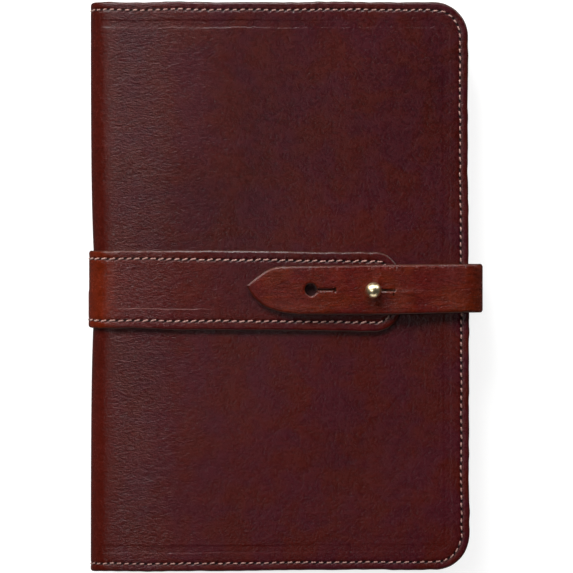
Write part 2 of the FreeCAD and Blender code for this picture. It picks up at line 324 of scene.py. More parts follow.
def triangulate(rims, grid):
    """Triangles between the rims' points and the grid's, all wound the same way."""
    cloud = np.vstack(rims + [grid])
    edges = []
    first = 0
    for loop in rims:
        edges += [(first + i, first + (i + 1) % len(loop)) for i in range(len(loop))]
        first += len(loop)
    found = delaunay_2d_cdt([Vector(p) for p in cloud.tolist()], edges, [], 0, 1e-7)
    origin = [o[0] if o else -1 for o in found[3]]
    faces = [[origin[i] for i in face] for face in found[2] if len(face) == 3]
    triangles = np.array([face for face in faces if min(face) >= 0])
    triangles = triangles[within(cloud[triangles].mean(1), rims)]
    p = cloud[triangles]
    area = np.cross(p[:, 1] - p[:, 0], p[:, 2] - p[:, 0])
    triangles[area < 0] = triangles[area < 0][:, ::-1]
    return triangles


def slab(
    name, outlines, rings, spacing, place, material, flip=False, holes=None, shift=(0.0, 0.0, 0.0)
):
    """A closed sheet. outlines are its edge and the edges of the holes in it, and rings the (inset,
    depth) pairs of its rim. Where an edge has little room, its rim is narrower and shallower. place
    takes flat points, depth, inset and hole, and gives positions and how bent and flexed they are."""
    thickness = rings[-1][1]
    flat, depth, inset, hole, faces, firsts, lasts = [], [], [], [], [], [], []
    base = 0
    for line in outlines:
        n = len(line["points"])
        scale = np.minimum(1.0, line["room"] / rings[0][0])
        for e, d in rings:
            flat.append(line["points"] - line["normals"] * e * scale[:, None])
            depth.append(ring_depth(d, thickness, scale))
            inset.append(np.full(n, max(e, 0.0)))
            hole.append(np.zeros(n) if holes is None else holes(np.arange(n), e, d))
        for k in range(len(rings) - 1):
            faces += between(base + k * n, base + (k + 1) * n, n, line["closed"])
        firsts.append(base + np.arange(n))
        base += n * len(rings)
        lasts.append(base - n + np.arange(n))
    closing = np.zeros((0, 2)) if outlines[0]["closed"] else closing_points(flat[0], spacing[1])
    rims = [np.vstack([flat[0], closing])] + [flat[len(rings) * k] for k in range(1, len(outlines))]
    grid = grid_within(rims, spacing)
    triangles = triangulate(rims, grid)
    fill = np.vstack([closing, grid])
    extra = len(fill)

    def numbers(rows, first):
        """The rims' and the grid's points on one face, in the order in which they were triangulated."""
        filled = first + np.arange(extra)
        return np.concatenate([rows[0], filled[: len(closing)], *rows[1:], filled[len(closing) :]])

    upper, lower = numbers(firsts, base), numbers(lasts, base + extra)
    faces += upper[triangles].tolist() + lower[triangles[:, ::-1]].tolist()
    flat = np.vstack(flat + [fill, fill])
    depth = np.concatenate(depth + [np.zeros(extra), np.full(extra, thickness)])
    inset = np.concatenate(inset + [np.full(2 * extra, rings[0][0] + 2.0)])
    hole = np.concatenate(hole + [np.zeros(2 * extra)])
    if flip:
        faces = [face[::-1] for face in faces]
    xyz, bent, flex = place(flat[:, 0], flat[:, 1], depth, inset, hole)
    sheet = np.stack([flat[:, 0] + shift[0], flat[:, 1] + shift[1], depth + shift[2]], 1)
    data = {"sheet": sheet, "edge": inset, "hole": hole, "bent": bent, "flex": flex}
    return finish_mesh(name, xyz, faces, data, material)


def stitches(name, outline, inset, place, seed, shown=0.58, thick=0.25, slant=8.0, up=1.0):
    """A row of slanting two-ply stitches inset from an outline. shown is the part of each stitch that
    lies on the leather, between its holes. place takes flat points and height."""
    rng = np.random.default_rng(seed)
    t, total = outline["t"], outline["t"][-1]
    count = int(round(total / outline["pitch"]))
    pitch = total / count
    line = outline["points"] - inset * outline["normals"]
    centre = (np.arange(count) + 0.5) * pitch
    at = np.stack([np.interp(centre, t, line[:, k]) for k in (0, 1)], 1)
    normal = np.stack([np.interp(centre, t, outline["normals"][:, k]) for k in (0, 1)], 1)
    normal /= np.linalg.norm(normal, axis=1, keepdims=True)
    slant = np.radians(slant + rng.normal(0, 3.0, count))
    ahead = np.stack([normal[:, 1], -normal[:, 0]], 1)
    way = ahead * np.cos(slant)[:, None] + normal * np.sin(slant)[:, None]
    cross = np.stack([-way[:, 1], way[:, 0]], 1)
    at = at + normal * rng.normal(0, 0.07, count)[:, None]
    length = shown * pitch * rng.uniform(0.94, 1.05, count)
    rings, sides = 11, 10
    along = np.linspace(-0.5, 0.5, rings)
    angle = np.linspace(0, math.tau, sides, endpoint=False)
    a = along[None, :, None] * length[:, None, None]
    theta = angle[None, None, :]
    arch = 1 - np.abs(2 * along[None, :, None]) ** 3.2
    radius = thick * np.sqrt(np.clip(1 - 0.75 * np.abs(2 * along[None, :, None]) ** 5, 0.05, 1))
    twist = rng.uniform(0, 6, count)[:, None, None]
    radius = radius * (1 + 0.17 * np.cos(2 * theta - math.tau * a / 1.25 + twist))
    sideways = radius * np.cos(theta) * 1.1
    height = -0.30 + 0.30 * arch + radius * np.sin(theta) * 0.9
    p = at[:, None, None, :] + way[:, None, None, :] * a[..., None]
    p = (p + cross[:, None, None, :] * sideways[..., None]).reshape(-1, 2)
    height = height.reshape(-1)
    faces = []
    for k in range(count):
        for j in range(rings - 1):
            first = (k * rings + j) * sides
            faces += between(first, first + sides, sides)
    xyz = place(p[:, 0], p[:, 1], height * up)
    sheet = np.stack([p[:, 0], p[:, 1], height], 1)
    return finish_mesh(name, xyz, faces, {"sheet": sheet}, THREAD)


def lathe(name, profile, middle, material, segments=72):
    """A turned piece: (radius, z) pairs from its foot to its top, about an upright axis."""
    profile = np.array(profile, float)
    angle = np.linspace(0, math.tau, segments, endpoint=False)
    x = middle[0] + profile[:, :1] * np.cos(angle)
    y = middle[1] + profile[:, :1] * np.sin(angle)
    z = np.repeat(profile[:, 1:], segments, 1)
    xyz = np.stack([x, y, z], -1).reshape(-1, 3)
    faces = []
    for k in range(len(profile) - 1):
        faces += between(k * segments, (k + 1) * segments, segments)
    top = (len(profile) - 1) * segments
    faces.append(tuple(reversed(range(segments))))
    faces.append(tuple(range(top, top + segments)))
    return finish_mesh(name, xyz, faces, {"sheet": xyz}, material)


# ---- Materials ----
BURNISHED = ((0.060, 0.022, 0.013), (0.020, 0.0075, 0.005))
# painted shade: the near-black that the stitch holes and the patch under the free buttonhole are painted
PAINTED_HOLE_SHADE = (0.003, 0.001, 0.0006)
SCRATCHED = (0.20, 0.085, 0.075)
COVER_TONES = ((0.0400, 0.0034, 0.0022), (0.0348, 0.0033, 0.0060))
COVER_WARM = (0.0410, 0.0036, 0.0016)
BAND_TONES = ((0.0415, 0.0031, 0.0018), (0.0365, 0.0028, 0.0042))
BAND_WARM = (0.076, 0.0074, 0.0012)
STRAP_TONES = ((0.066, 0.0060, 0.0008), (0.056, 0.0028, 0.0032))
STRAP_WARM = (0.064, 0.0078, 0.0016)
POCKET_TONES = ((0.110, 0.038, 0.020), (0.085, 0.030, 0.018))
POCKET_WARM = (0.16, 0.06, 0.03)
LINING_TONES = ((0.20, 0.085, 0.042), (0.13, 0.052, 0.025))
LINING_EDGE = (0.05, 0.018, 0.011)
THREAD_TONES = ((0.36, 0.200, 0.165), (0.28, 0.145, 0.118))
THREAD_DEEP = (0.22, 0.115, 0.095)
BRASS_TONES = ((0.92, 0.77, 0.49), (0.74, 0.55, 0.28))
CLOTH_TONES = ((0.016, 0.015, 0.016), (0.034, 0.031, 0.031))
PAPER_TONES = ((0.80, 0.745, 0.61), (0.77, 0.705, 0.56))
PAPER_LINE = (0.52, 0.45, 0.33)
BAND_SHEET_X = 300  # where the band's flat coordinates start, so that its grain differs from the cover's


class Graph:
    """A node material and short ways to add to it."""

    def __init__(self, name, **settings):
        self.material = bpy.data.materials.new(name)
        self.material.use_nodes = True
        self.tree = self.material.node_tree
        self.tree.nodes.clear()
        self.shader = self.tree.nodes.new("ShaderNodeBsdfPrincipled")
        output = self.tree.nodes.new("ShaderNodeOutputMaterial")
        self.tree.links.new(self.shader.outputs[0], output.inputs[0])
        self.fill(self.shader, settings)

    def put(self, socket, value):
        """Links a socket to another one, or sets it to a number or a colour."""
        if isinstance(value, bpy.types.NodeSocket):
            self.tree.links.new(value, socket)
        elif isinstance(value, tuple) and socket.type == "RGBA":
            socket.default_value = (*value, 1.0)
        else:
            socket.default_value = value

    def fill(self, node, values):
        for key, value in values.items():
            self.put(node.inputs[key], value)

    def attribute(self, name):
        node = self.tree.nodes.new("ShaderNodeAttribute")
        node.attribute_name = name
        return node.outputs["Vector" if name == "sheet" else "Fac"]

    def stretched(self, vector, scale):
        node = self.tree.nodes.new("ShaderNodeVectorMath")
        node.operation = "MULTIPLY"
        self.fill(node, {0: vector, 1: scale})
        return node.outputs[0]

    def noise(self, vector, scale, detail=3.0, rough=0.55, bend=0.0):
        node = self.tree.nodes.new("ShaderNodeTexNoise")
        self.fill(node, {"Vector": vector, "Scale": scale, "Detail": detail})
        self.fill(node, {"Roughness": rough, "Distortion": bend})
        return node.outputs["Fac"]

    def cells(self, vector, scale):
        node = self.tree.nodes.new("ShaderNodeTexVoronoi")
        node.feature = "DISTANCE_TO_EDGE"
        self.fill(node, {"Vector": vector, "Scale": scale})
        return node.outputs["Distance"]

    def math(self, operation, a, b=0.0, c=0.0):
        node = self.tree.nodes.new("ShaderNodeMath")
        node.operation = operation
        self.fill(node, {0: a, 1: b, 2: c})
        return node.outputs[0]

    def span(self, value, low, high, to_low=0.0, to_high=1.0):
        node = self.tree.nodes.new("ShaderNodeMapRange")
        node.interpolation_type = "SMOOTHSTEP"
        self.fill(node, {"Value": value, 1: low, 2: high, 3: to_low, 4: to_high})
        return node.outputs[0]

    def mix(self, share, a, b):
        node = self.tree.nodes.new("ShaderNodeMix")
        node.data_type = "RGBA"
        sockets = [s for s in node.inputs if s.type == "RGBA"]
        self.fill(node, {0: share})
        for socket, value in zip(sockets, (a, b)):
            self.put(socket, value)
        return next(s for s in node.outputs if s.type == "RGBA")

    def part(self, vector, axis):
        node = self.tree.nodes.new("ShaderNodeSeparateXYZ")
        self.fill(node, {0: vector})
        return node.outputs[axis]

    def shaded(self, colour, amount):
        """A colour made lighter or darker by a factor."""
        node = self.tree.nodes.new("ShaderNodeVectorMath")
        node.operation = "SCALE"
        self.fill(node, {0: colour, "Scale": amount})
        return node.outputs[0]

    def relief(self, height, distance, strength=1.0):
        node = self.tree.nodes.new("ShaderNodeBump")
        self.fill(node, {"Height": height, "Distance": distance, "Strength": strength})
        return node.outputs[0]


def leather(
    name, tones, warm, streak=0.2, gloss=0.27, streak_way=(0.12, 0.7, 1.0), ridges=1.0, shine=0.19,
    scratch=None,
):
    """Finished leather: mottled between two tones, pebbled, wrinkled where it bends, painted nearly
    black as shade in the stitch holes and under the free buttonhole, and burnished at its cut edges.
    warm is the tone that stretched leather shows. streak_way stretches the fibres, and ridges is how
    far they stand up. scratch is its start, end and y."""
    g = Graph(name, **{"Specular IOR Level": shine})
    sheet, edge, hole, bent, flex = (g.attribute(k) for k in ("sheet", "edge", "hole", "bent", "flex"))
    patches = g.noise(sheet, 0.075, 3.0, 0.6, 0.4)
    broad = g.noise(sheet, 0.02, 3.0, 0.5)
    blotch = g.noise(sheet, 0.22, 5.0, 0.65)
    fibre = g.noise(g.stretched(sheet, streak_way), 1.0, 5.0, 0.68, 0.5)
    pebble = g.noise(sheet, 0.8, 3.0, 0.75, 0.3)
    colour = g.mix(g.span(patches, 0.36, 0.64), *tones)
    colour = g.mix(g.math("MULTIPLY", bent, 0.95), colour, warm)
    # light and dark without a change of hue
    # lighter towards the tail and darker towards the head
    paler = g.span(g.part(sheet, "Y"), -100.0, 80.0, 1.23, 0.93)
    shade = g.math("MULTIPLY_ADD", g.math("SUBTRACT", broad, 0.5), 0.6, paler)
    shade = g.math("MULTIPLY_ADD", g.math("SUBTRACT", blotch, 0.5), 0.7, shade)
    shade = g.math("MULTIPLY_ADD", g.math("SUBTRACT", pebble, 0.5), 1.5, shade)
    shade = g.math("MULTIPLY_ADD", g.math("SUBTRACT", fibre, 0.5), 2.6 * streak, shade)
    colour = g.shaded(colour, shade)
    # the cut edge is burnished brown, and the stitch holes and the patch under the free buttonhole are
    # painted nearly black as shade
    burnish = g.mix(g.noise(sheet, 0.9, 3.0), *BURNISHED)
    colour = g.mix(g.span(edge, 0.12, 0.6, 0.92, 0.0), colour, burnish)
    colour = g.mix(g.span(hole, 0.08, 0.5, 0.0, 0.98), colour, PAINTED_HOLE_SHADE)
    # short wrinkles run across the fold
    lines = g.noise(g.stretched(sheet, (0.5, 1.15, 1.0)), 0.95, 4.0, 0.62, 0.9)
    height = g.math("MULTIPLY", lines, g.math("MULTIPLY_ADD", flex, 3.2, 0.1))
    height = g.math("MULTIPLY_ADD", pebble, 1.1, height)
    height = g.math("MULTIPLY_ADD", fibre, 2.4 * streak * ridges, height)
    height = g.math("MULTIPLY_ADD", blotch, 0.9, height)
    rough = g.span(blotch, 0.3, 0.75, gloss - 0.04, gloss + 0.06)
    rough = g.math("MULTIPLY_ADD", g.math("SUBTRACT", pebble, 0.5), 0.25, rough)
    rough = g.math("MULTIPLY_ADD", bent, -0.04, rough)
    rough = g.math("MULTIPLY", rough, g.span(edge, 0.1, 0.9, 0.6, 1.0))
    rough = g.math("MAXIMUM", rough, g.span(hole, 0.08, 0.4, 0.0, 0.9))
    if scratch:
        # one long shallow scratch along the sheet
        start, end, scratch_y = scratch
        across = g.math("ABSOLUTE", g.math("SUBTRACT", g.part(sheet, "Y"), scratch_y))
        along = g.part(sheet, "X")
        fade_in, fade_out = g.span(along, start, start + 4), g.span(along, end - 12, end, 1.0, 0.0)
        ends = g.math("MULTIPLY", fade_in, fade_out)
        line = g.math("MULTIPLY", g.span(across, 0.05, 0.28, 1.0, 0.0), ends)
        colour = g.mix(g.math("MULTIPLY", line, 0.5), colour, SCRATCHED)
        height = g.math("SUBTRACT", height, g.math("MULTIPLY", line, 0.5))
    normal = g.relief(height, 0.00018, g.span(edge, 0.2, 1.4, 0.25, 1.0))
    g.fill(g.shader, {"Base Color": colour, "Roughness": rough, "Normal": normal})
    return g.material


def suede(name, tone, deep):
    """The leather's flesh side: napped and dull."""
    g = Graph(name, **{"Roughness": 0.92, "Specular IOR Level": 0.2})
    g.fill(g.shader, {"Sheen Weight": 0.25, "Sheen Roughness": 0.6})
    sheet, edge = g.attribute("sheet"), g.attribute("edge")
    nap = g.noise(sheet, 1.6, 6.0, 0.75)
    colour = g.mix(g.span(g.noise(sheet, 0.06, 4.0), 0.3, 0.7), tone, deep)
    colour = g.mix(g.span(nap, 0.35, 0.75, 0.0, 0.5), colour, deep)
    colour = g.mix(g.span(edge, 0.1, 0.5, 0.8, 0.0), colour, LINING_EDGE)
    g.fill(g.shader, {"Base Color": colour, "Normal": g.relief(nap, 0.0002, 0.9)})
    return g.material


def thread_material(name):
    """Waxed thread, a little fuzzy."""
    g = Graph(name, **{"Roughness": 0.62, "Specular IOR Level": 0.35})
    g.fill(g.shader, {"Sheen Weight": 0.3, "Sheen Roughness": 0.5})
    sheet = g.attribute("sheet")
    fuzz = g.noise(sheet, 5.0, 4.0, 0.7)
    colour = g.mix(g.span(g.noise(sheet, 0.12, 3.0), 0.3, 0.7), *THREAD_TONES)
    colour = g.mix(g.span(fuzz, 0.35, 0.75, 0.0, 0.5), colour, THREAD_DEEP)
    g.fill(g.shader, {"Base Color": colour, "Normal": g.relief(fuzz, 0.0001, 0.7)})
    return g.material


def brass_material(name):
    """Brass, slightly tarnished in patches and finely scratched."""
    g = Graph(name, **{"Metallic": 1.0})
    sheet = g.attribute("sheet")
    tarnish = g.noise(sheet, 0.9, 4.0, 0.6)
    scratch = g.noise(g.stretched(sheet, (6.0, 0.9, 2.0)), 1.0, 4.0, 0.7)
    colour = g.mix(g.span(tarnish, 0.35, 0.75), *BRASS_TONES)
    rough = g.span(scratch, 0.3, 0.8, 0.27, 0.38)
    g.fill(g.shader, {"Base Color": colour, "Roughness": rough, "Normal": g.relief(scratch, 0.00002, 0.5)})
    return g.material


def board_material(name):
    """Book cloth on the notebook's boards. The boards are CAD nodes, so it uses object positions."""
    g = Graph(name, **{"Specular IOR Level": 0.4})
    place = g.tree.nodes.new("ShaderNodeTexCoord").outputs["Object"]
    grain = g.cells(place, 900.0)
    colour = g.mix(g.noise(place, 120.0, 4.0), *CLOTH_TONES)
    rough = g.span(grain, 0.0, 0.4, 0.7, 0.5)
    g.fill(g.shader, {"Base Color": colour, "Roughness": rough, "Normal": g.relief(grain, 0.0001)})
    return g.material


def paper_material(name):
    """Cream paper. On the cut sides the sheets show as fine lines."""
    g = Graph(name, **{"Roughness": 0.88, "Specular IOR Level": 0.2})
    sheet = g.attribute("sheet")
    sheets = g.noise(g.stretched(sheet, (0.02, 0.02, 6.5)), 1.0, 3.0, 0.7)
    stain_and_shade = g.noise(sheet, 0.03, 4.0)
    colour = g.mix(g.span(stain_and_shade, 0.3, 0.7), *PAPER_TONES)
    colour = g.mix(g.span(sheets, 0.4, 0.7, 0.0, 0.55), colour, PAPER_LINE)
    g.fill(g.shader, {"Base Color": colour, "Normal": g.relief(sheets, 0.00015, 0.7)})
    return g.material


def floor_material(name):
    """A white table that glows a little, so that shadows on it stay pale."""
    g = Graph(name, **{"Roughness": 0.9, "Specular IOR Level": 0.1, "Base Color": (0.32, 0.32, 0.32)})
    g.fill(g.shader, {"Emission Color": (1.0, 1.0, 1.0), "Emission Strength": 0.82})
    return g.material


COVER_SKIN = leather("cover_leather", COVER_TONES, COVER_WARM, 0.12)
BAND_SCRATCH = (BAND_SHEET_X + 16, BAND_SHEET_X + 56, -8.6)
BAND_SKIN = leather("band_leather", BAND_TONES, BAND_WARM, 0.2, scratch=BAND_SCRATCH)
STRAP_SKIN = leather("strap_leather", STRAP_TONES, STRAP_WARM, 0.7, 0.28, (0.13, 1.0, 1.0), 0.55, 0.15)
INNER_SKIN = leather("pocket_leather", POCKET_TONES, POCKET_WARM, 0.3)
LINING_SKIN = suede("lining_suede", *LINING_TONES)
THREAD = thread_material("waxed_thread")
BRASS = brass_material("brass")
BOARD_CLOTH = board_material("book_cloth")
PAPER = paper_material("cream_paper")


# ---- The outer leather, its seam and its lining ----
TROUGH = (6.8, 9.7)  # insets at which the dent beside the notebook's board begins and ends
FLANK = 0.8  # how wide each side of that dent is
cover_edge = open_outline(REACH, HALF_HEIGHT, COVER_CORNER, pitch=COVER_PITCH)
band_edge = open_outline(BAND_END, BAND_HALF, BAND_CORNER, middle=CLOSURE_Y)


def seam_holes(inset):
    """Each stitch hole is a slanting cut across the seam line."""

    def depth_of(index, e, d):
        if d > 0:
            return np.zeros(len(index))
        off = (e - inset) / 0.34
        phase = (index + off * 0.6 + PER_STITCH / 2) % PER_STITCH - PER_STITCH / 2
        return bump(phase / 0.95) * bump(off / 1.25)

    return depth_of


def seam_rings(inset):
    """Rings that lie close together across a seam."""
    return [(inset + k, 0.0) for k in (1.3, 0.7, 0.34, 0.0, -0.34, -0.7, -1.3)]


def stretch(s):
    """How stretched, and so how pale and warm, the leather is: most on the spine."""
    return 1 - 0.75 * smooth((s - 9) / 11) - 0.25 * smooth((s - 18) / 45)


def creasing(s):
    """How wrinkled the leather is by flexing: most beside the spine, where it folds and unfolds."""
    return smooth((s - 10.2) / 8) * (1 - 0.62 * smooth((s - 22) / 22) - 0.28 * smooth((s - 40) / 35))


def as_cut(s, y, side):
    """A sheet that is laid straight, with nothing added to its outline."""
    return y


def band_cut(s, y, side):
    """The band is sewn on slightly askew, and its margins are a little wider away from the spine."""
    askew = 0.45 - 0.0095 * s if side > 0 else 0.45 * np.exp(-s / 40.0)
    across = y - CLOSURE_Y
    margin = smooth((np.abs(across) - BAND_HALF + BAND_INSET) / BAND_INSET)
    return y + askew + 0.5 * np.sign(across) * margin * smooth((s - 15) / 40)


def cover_place(side, thickness, radius, groove_inset, cut=as_cut):
    """Lays a sheet on the cover, with its outer face at a radius from the notebook's middle plane."""

    def place(s, y, depth, e, hole):
        top = 1 - depth / thickness
        groove = -0.2 * bump((e - groove_inset) / 0.65) - 0.42 * hole
        own = groove * top
        if radius == SPINE_R:
            # the edge of the notebook's board shows through the leather near the head and the tail
            from_end = HALF_HEIGHT - np.abs(y)
            strength = np.where(y > 0, 1.0, 0.6) * smooth((s - 6) / 8) * (1 - 0.55 * smooth((s - 45) / 60))
            strength = 0.25 + (strength - 0.25) * (1 - smooth((from_end - e - 0.5) / 8))
            trough = smooth((e - TROUGH[0]) / FLANK) - smooth((e - TROUGH[1]) / FLANK)
            own = own - 0.2 * trough * strength * top
        return fold(s, cut(s, y, side), radius + own - depth, side), stretch(s), creasing(s)

    return place


def on_cover(side, radius, cut=as_cut):
    """Lays stitches on a sheet of the cover."""
    return lambda s, y, height: fold(s, cut(s, y, side), radius + height, side)


def join(piece, side, slot, *nodes):
    """Bakes a sheet's transform into its mesh, and lets it stand for CAD nodes."""
    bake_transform(piece)
    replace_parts(piece, *nodes)
    return piece


def paint_buttonhole_shade(sheet, place, radius):
    """Paints shade on a round patch of a sheet's upper face, where a buttonhole lies over it: it raises
    the hole mask, which the leather paints nearly black.
    """
    for vertex, stain_and_shade in zip(sheet.data.vertices, sheet.data.attributes["hole"].data):
        if vertex.co.z > (COVER_TOP + BAND / 2) * MM:
            off = math.hypot(vertex.co.x / MM - place[0], vertex.co.y / MM - place[1])
            stain_and_shade.value = max(stain_and_shade.value, 0.32 * float(smooth((radius - off) / 1.4)))


def board_rings():
    """Rings that lie close together on both sides of the dent beside the notebook's board."""
    flanks = [start + FLANK * k / 4 for start in TROUGH for k in range(5)]
    return [(e, 0.0) for e in sorted(flanks + [5.2, 6.4, 7.8, 8.5, 9.3, 10.8, 11.3], reverse=True)]


def cover_side(side, body):
    """The cover leather, the lining and the band on one side, with their seams."""
    flip = side < 0
    skin = slab(
        body + "_cover", [cover_edge], rim(LEATHER, board_rings() + seam_rings(SEAM_INSET)), (1.3, 1.6),
        cover_place(side, LEATHER, SPINE_R, SEAM_INSET), COVER_SKIN, flip, seam_holes(SEAM_INSET),
        (0, 0, 40 * side),
    )
    join(skin, side, "cover_leather", body + "_leather", "spine_leather")
    seam = stitches(body + "_seam", cover_edge, SEAM_INSET, on_cover(side, SPINE_R), 20 + side)
    join(seam, side, "thread", body + "_seam_thread", "spine_seam_thread")
    lining = slab(
        body + "_lining_sheet", [cover_edge], rim(LINING, [(6.0, 0.0), (3.0, 0.0)], 0.5), (1.6, 3.0),
        cover_place(side, LINING, SPINE_R - LEATHER, NO_SEAM), LINING_SKIN, flip, None, (0, 0, 80 * side),
    )
    join(lining, side, "lining", body + "_lining", "spine_lining")
    band_rings = [(5.6, 0.0), (5.0, 0.0)] + seam_rings(BAND_INSET)
    band = slab(
        body + "_band_sheet", [band_edge], rim(BAND, band_rings), (1.1, 1.1),
        cover_place(side, BAND, SPINE_R + BAND, BAND_INSET, band_cut), BAND_SKIN, flip,
        seam_holes(BAND_INSET), (BAND_SHEET_X, 0, 60 * side),
    )
    # painted shade on the band, seen through the strap's free buttonhole
    if side > 0:
        paint_buttonhole_shade(band, (STUD.x - HOLE_PITCH, CLOSURE_Y), 3.0)
    join(band, side, "band_leather", body + "_band", "spine_band")
    on_band = on_cover(side, SPINE_R + BAND, band_cut)
    seam = stitches(body + "_band_seam", band_edge, BAND_INSET, on_band, 30 + side, 0.70, 0.28, 12.0)
    join(seam, side, "thread", body + "_band_thread", "spine_band_thread")


for side, body in ((1, "front"), (-1, "back")):
    cover_side(side, body)

# ---- Inside the cover ----
POCKET = 1.0
POCKET_LEFT = corners("front_pocket")[0].x - SPINE_X + ARC
SEWN = SPINE_R - LEATHER - LINING


def pocket_outline():
    """A pocket reaches the cover's head, fore-edge and tail, and has the same round corners."""
    points = [(POCKET_LEFT, -HALF_HEIGHT), (POCKET_LEFT, HALF_HEIGHT)]
    for k in range(13):
        a = math.radians(90 - 7.5 * k)
        x = REACH - COVER_CORNER * (1 - math.cos(a))
        points.append((x, HALF_HEIGHT - COVER_CORNER * (1 - math.sin(a))))
    points += [(x, -y) for x, y in reversed(points[2:])]
    return outline_of(points, True, 1.0)


def sewn_distance(s, y):
    """Distance to the nearest of a pocket's three sewn edges."""
    return np.minimum(HALF_HEIGHT - np.abs(y), REACH - s)


def pocket_place(side):
    """Lays a pocket on the lining, raised over the notebook's board away from its sewn edges."""

    def place(s, y, depth, e, hole):
        over = BOARD * smooth((sewn_distance(s, y) - 5.4) / 3.0)
        return fold(s, y, SEWN - over - depth, side), np.full(len(s), 0.1), np.full(len(s), 0.15)

    return place


def on_inside(side):
    """Lays stitches on the lining, or on the pocket where there is one."""

    def place(s, y, height):
        in_pocket = smooth((s - POCKET_LEFT) / 0.4)
        return fold(s, y, SEWN - POCKET * in_pocket + height, side)

    return place


pocket_edge = pocket_outline()
for side, body in ((1, "front"), (-1, "back")):
    flap = slab(
        body + "_pocket_flap", [pocket_edge], rim(POCKET, [(2.0, 0.0)], 0.6), (1.6, 1.6),
        pocket_place(side), INNER_SKIN, side < 0, None, (600, 0, 30 * side),
    )
    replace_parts(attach(flap, body), body + "_pocket")
    inner = stitches(body + "_inner_seam", cover_edge, SEAM_INSET, on_inside(side), 40 + side, up=-1.0)
    join(inner, side, "thread")


# ---- The leaves ----
GATHERINGS = 10
GATHERING_EDGE = ((0.2, 0.04), (0.03, 0.2), (0.0, 0.5), (0.03, 0.8), (0.2, 0.96))  # inset, depth


def leaves():
    """Ten gatherings of paper, each with its own small offset, pressed thinner between the pockets."""
    low, high = corners("page_block")
    pocket_left = corners("front_pocket")[0].x
    offsets = np.random.default_rng(11).normal(0, 0.13, (GATHERINGS + 1, 2))
    thickness = high.z - low.z
    one = thickness / GATHERINGS
    line = []
    # nearly square corners at the spine, and rounder ones at the fore-edge
    for x, corner, start in ((low.x, 2.2, 180), (high.x, 6.0, 90)):
        for degrees in range(start, start - 91, -10):
            a = math.radians(degrees)
            inward = corner if start == 180 else -corner
            line.append((x + inward + corner * math.cos(a), high.y - corner * (1 - math.sin(a))))
    line += [(x, -y) for x, y in reversed(line)]
    rings = [(1.5, 0.0), (0.6, 0.0)]
    for k in range(GATHERINGS):
        rings += [(e, (k + f) * one) for e, f in GATHERING_EDGE]
    rings += [(0.6, thickness), (1.5, thickness)]

    def place(x, y, depth, e, hole):
        own = offsets[(depth / one).astype(int)]
        share = np.where(e > 1.0, 0.0, 1.0)
        squeeze = smooth((x - pocket_left + 16) / 15.0)
        z = high.z - squeeze - depth / thickness * (thickness - 2 * squeeze)
        xyz = np.stack([x + own[:, 0] * share, y + own[:, 1] * share, z], 1)
        return xyz, np.zeros(len(x)), np.zeros(len(x))

    return slab("leaves", [outline_of(line, True, 1.0)], rings, (5.0, 5.0), place, PAPER)


paper = leaves()
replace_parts(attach(paper, "back"), "page_block")


# ---- The strap ----
MIDDLE_Z = STRAP_TOP / 2
LOOP = MIDDLE_Z - STRAP_BEND  # from the middle of the loop to the start of a bend
BENT = math.pi / 2 * (STRAP_BEND - BAND / 2)
TIP = (LEFT + 61.1, CLOSURE_Y + 1.93)
CLEARANCE = 0.08  # between the tongue and the band
CLIMB = 0.95


def strap_x(w):
    """Position across the book of a point at distance w along the strap from the loop's middle."""
    return BEND_X - np.maximum(np.abs(w) - LOOP - BENT, 0)


def strap_w(x):
    """Distance along the tongue from the loop's middle: it runs towards the tip as w falls."""
    return -(BEND_X - x + LOOP + BENT)


def lean(w):
    """The strap isn't quite square to the book: it climbs towards the fore-edge, on both faces."""
    out = np.clip((strap_x(w) - LEFT - 75) / 79, 0, 1)
    return np.where(w < 0, CLIMB * out**1.9, CLIMB * (1 - smooth((w - LOOP) / 36)))


def strap_lay(w, v, depth):
    """Lays the strap round its loop. Its tongue rises at the free buttonhole, sags near the fore-edge
    and crumples round the stud."""
    a = np.abs(w)
    sign = np.where(w < 0, 1.0, -1.0)
    turn = np.clip((a - LOOP) / (STRAP_BEND - BAND / 2), 0, math.pi / 2)
    out = STRAP_BEND - depth
    bulge = 0.25 * bump(w / 7.0)
    x = BEND_X + out * np.cos(turn) - np.maximum(a - LOOP - BENT, 0) + bulge
    z = MIDDLE_Z + sign * (np.minimum(a, LOOP) + out * np.sin(turn))
    from_left = x - LEFT
    sag = -0.35 * bump((from_left - 137) / 8.0) + 0.85 * bump((from_left - 89) / 13.0)
    sag = sag + 0.45 * bump((from_left - 124) / 6.0) * (v < 0)
    sag = sag + 0.3 * smooth((-v - 4) / 5) * smooth((from_left - 62) / 20)
    y = CLOSURE_Y + lean(w) + v * (1 + 0.034 * bump((from_left - 116) / 26.0))
    from_stud = np.hypot(x - STUD.x, y - STUD.y)
    around = np.arctan2(y - STUD.y, x - STUD.x)
    crumple = 0.16 * bump((from_stud - 5.2) / 2.6) * (0.4 + np.cos(5 * around + 0.6))
    crumple = crumple * smooth((from_left - 108) / 4)
    uneven = 0.06 * waves(w, v, 17.0, 15)
    on_tongue = (sign > 0) & (a > LOOP + BENT)
    z = z + np.where(on_tongue, sag + crumple + uneven + CLEARANCE, 0.0)
    return np.stack([x, y, z], 1)


def strap_place(w, v, depth, e, hole):
    """The tongue and the front half of the loop."""
    bent = 0.55 * bump((np.abs(w) - LOOP - BENT / 2) / 6.0) + 0.2
    return strap_lay(w, v, depth), bent, np.full(len(w), 0.3)


def to_strap(points):
    """Points (x, y) on the book's front as flat strap coordinates."""
    p = np.array(points, float)
    w = strap_w(p[:, 0])
    return np.stack([w, p[:, 1] - CLOSURE_Y - lean(w)], 1)


